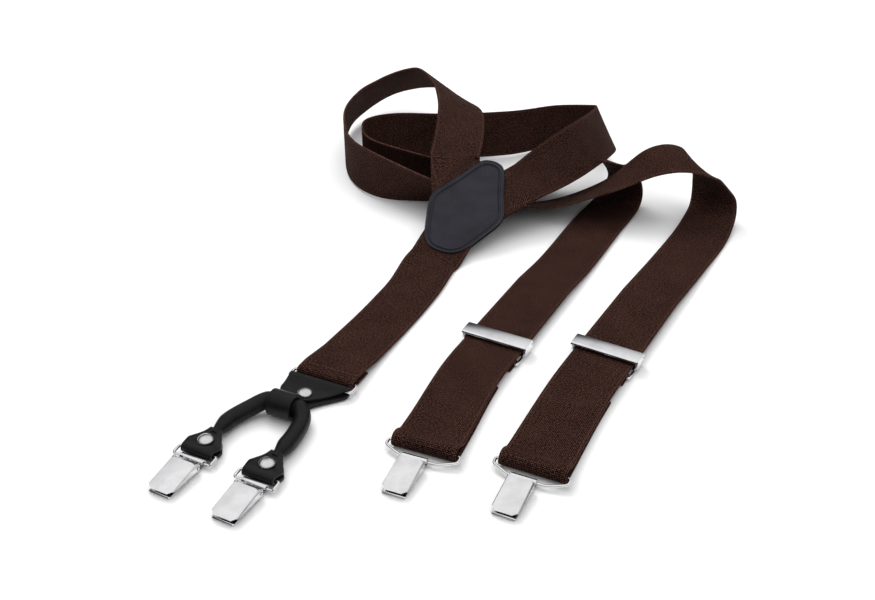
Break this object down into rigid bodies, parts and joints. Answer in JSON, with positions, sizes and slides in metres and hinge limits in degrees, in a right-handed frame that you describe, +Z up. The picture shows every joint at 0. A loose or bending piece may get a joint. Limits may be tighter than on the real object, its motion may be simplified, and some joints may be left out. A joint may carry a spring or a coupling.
{
  "type": "suspenders",
  "caption": "Y-back elastic suspenders laid in a loop: leather back patch, chrome sliders, leather cord at the back and clips on wire hangers.",
  "frame": {"origin": "middle of the laid object on the surface it rests on", "axes": "+Z up from the surface; +Y along the laid length, from the clips to the far side of the loops; +X toward the front clips side"},
  "size_m": [0.3467, 0.5018, 0.0586],
  "materials": {
    "patch_leather": "smooth slate blue leather",
    "patch_lining": "matt lining leather",
    "webbing": "woven elastic",
    "chrome": "bright plated",
    "black_leather": "smooth black leather",
    "rivet_steel": "satin",
    "pad_rubber": "matt"
  },
  "bodies": {
    "straps": {"patch_top": "patch_leather", "patch_lining": "patch_lining", "back_strap": "webbing", "front_strap_left": "webbing", "front_strap_right": "webbing"},
    "back_ring": {"back_ring": "chrome"},
    "back_tab": {"back_tab": "black_leather", "back_tab_rivet_cap": "rivet_steel", "back_tab_rivet_post": "rivet_steel"},
    "cord": {"leather_cord": "black_leather", "cord_rivet_left_cap": "rivet_steel", "cord_rivet_left_post": "rivet_steel", "cord_rivet_right_cap": "rivet_steel", "cord_rivet_right_post": "rivet_steel"},
    "hanger_back_left": {"hanger_back_left": "chrome"},
    "clip_back_left": {"clip_back_left_base": "chrome", "clip_back_left_pin": "chrome", "clip_back_left_spring": "chrome", "clip_back_left_jaw_pad": "pad_rubber"},
    "lever_back_left": {"clip_back_left_lever": "chrome"},
    "hanger_back_right": {"hanger_back_right": "chrome"},
    "clip_back_right": {"clip_back_right_base": "chrome", "clip_back_right_pin": "chrome", "clip_back_right_spring": "chrome", "clip_back_right_jaw_pad": "pad_rubber"},
    "lever_back_right": {"clip_back_right_lever": "chrome"},
    "hanger_front_left": {"hanger_front_left": "chrome"},
    "clip_front_left": {"clip_front_left_base": "chrome", "clip_front_left_pin": "chrome", "clip_front_left_spring": "chrome", "clip_front_left_jaw_pad": "pad_rubber"},
    "lever_front_left": {"clip_front_left_lever": "chrome"},
    "hanger_front_right": {"hanger_front_right": "chrome"},
    "clip_front_right": {"clip_front_right_base": "chrome", "clip_front_right_pin": "chrome", "clip_front_right_spring": "chrome", "clip_front_right_jaw_pad": "pad_rubber"},
    "lever_front_right": {"clip_front_right_lever": "chrome"},
    "slider_left": {"slider_left_frame": "chrome", "slider_left_pin": "chrome", "front_strap_left_sewn_end": "webbing"},
    "slider_lever_left": {"slider_left_lever": "chrome"},
    "slider_right": {"slider_right_frame": "chrome", "slider_right_pin": "chrome", "front_strap_right_sewn_end": "webbing"},
    "slider_lever_right": {"slider_right_lever": "chrome"}
  },
  "joints": [
    {"name": "back_ring_swing", "type": "hinge", "parent": "straps", "child": "back_ring", "pos_m": [-0.0949, -0.14034, 0.004], "axis": [-0.9033, 0.4289, 0], "range_deg": [0, 50]},
    {"name": "back_tab_swing", "type": "hinge", "parent": "back_ring", "child": "back_tab", "pos_m": [-0.0979, -0.14666, 0.004], "axis": [-0.9033, 0.4289, 0], "range_deg": [0, 45]},
    {"name": "cord_roll", "type": "hinge", "parent": "back_tab", "child": "cord", "pos_m": [-0.11403, -0.16945, 0.00775], "axis": [-0.9164, 0.4004, 0], "range_deg": [0, 40]},
    {"name": "hanger_back_left_swing", "type": "hinge", "parent": "cord", "child": "hanger_back_left", "pos_m": [-0.15293, -0.20181, 0.0039], "axis": [-0.891, 0.454, 0], "range_deg": [0, 45]},
    {"name": "clip_back_left_swing", "type": "hinge", "parent": "hanger_back_left", "child": "clip_back_left", "pos_m": [-0.155, -0.20675, 0.00242], "axis": [-0.891, 0.454, 0], "range_deg": [0, 45]},
    {"name": "clip_back_left_open", "type": "hinge", "parent": "clip_back_left", "child": "lever_back_left", "pos_m": [-0.15736, -0.21139, 0.004], "axis": [-0.891, 0.454, 0], "range_deg": [0, 40], "stiffness_Nm_per_rad": 0.01, "springref_deg": -17.19},
    {"name": "hanger_back_right_swing", "type": "hinge", "parent": "cord", "child": "hanger_back_right", "pos_m": [-0.11973, -0.2196, 0.0039], "axis": [-0.8918, 0.4524, 0], "range_deg": [0, 45]},
    {"name": "clip_back_right_swing", "type": "hinge", "parent": "hanger_back_right", "child": "clip_back_right", "pos_m": [-0.12162, -0.22465, 0.00242], "axis": [-0.8918, 0.4524, 0], "range_deg": [0, 45]},
    {"name": "clip_back_right_open", "type": "hinge", "parent": "clip_back_right", "child": "lever_back_right", "pos_m": [-0.12397, -0.22928, 0.004], "axis": [-0.8918, 0.4524, 0], "range_deg": [0, 40], "stiffness_Nm_per_rad": 0.01, "springref_deg": -17.19},
    {"name": "hanger_front_left_swing", "type": "hinge", "parent": "straps", "child": "hanger_front_left", "pos_m": [-0.04031, -0.1999, 0.0044], "axis": [-0.9239, 0.3827, 0], "range_deg": [0, 45]},
    {"name": "clip_front_left_swing", "type": "hinge", "parent": "hanger_front_left", "child": "clip_front_left", "pos_m": [-0.0451, -0.20625, 0.00242], "axis": [-0.9239, 0.3827, 0], "range_deg": [0, 45]},
    {"name": "clip_front_left_open", "type": "hinge", "parent": "clip_front_left", "child": "lever_front_left", "pos_m": [-0.04709, -0.21105, 0.004], "axis": [-0.9239, 0.3827, 0], "range_deg": [0, 40], "stiffness_Nm_per_rad": 0.01, "springref_deg": -17.19},
    {"name": "hanger_front_right_swing", "type": "hinge", "parent": "straps", "child": "hanger_front_right", "pos_m": [0.01285, -0.21496, 0.0044], "axis": [-0.9063, 0.4226, 0], "range_deg": [0, 45]},
    {"name": "clip_front_right_swing", "type": "hinge", "parent": "hanger_front_right", "child": "clip_front_right", "pos_m": [0.00778, -0.2211, 0.00242], "axis": [-0.9063, 0.4226, 0], "range_deg": [0, 45]},
    {"name": "clip_front_right_open", "type": "hinge", "parent": "clip_front_right", "child": "lever_front_right", "pos_m": [0.00558, -0.22581, 0.004], "axis": [-0.9063, 0.4226, 0], "range_deg": [0, 40], "stiffness_Nm_per_rad": 0.01, "springref_deg": -17.19},
    {"name": "slider_left_slide", "type": "slide", "parent": "straps", "child": "slider_left", "axis": [0.4695, 0.8829, 0], "range_m": [0, 0.05]},
    {"name": "slider_left_lever_open", "type": "hinge", "parent": "slider_left", "child": "slider_lever_left", "pos_m": [0.00238, -0.10197, 0.006], "axis": [-0.8829, 0.4695, 0], "range_deg": [0, 70]},
    {"name": "slider_right_slide", "type": "slide", "parent": "straps", "child": "slider_right", "axis": [0.5, 0.866, 0], "range_m": [0, 0.05]},
    {"name": "slider_right_lever_open", "type": "hinge", "parent": "slider_right", "child": "slider_lever_right", "pos_m": [0.0641, -0.11464, 0.006], "axis": [-0.866, 0.5, 0], "range_deg": [0, 70]}
  ]
}
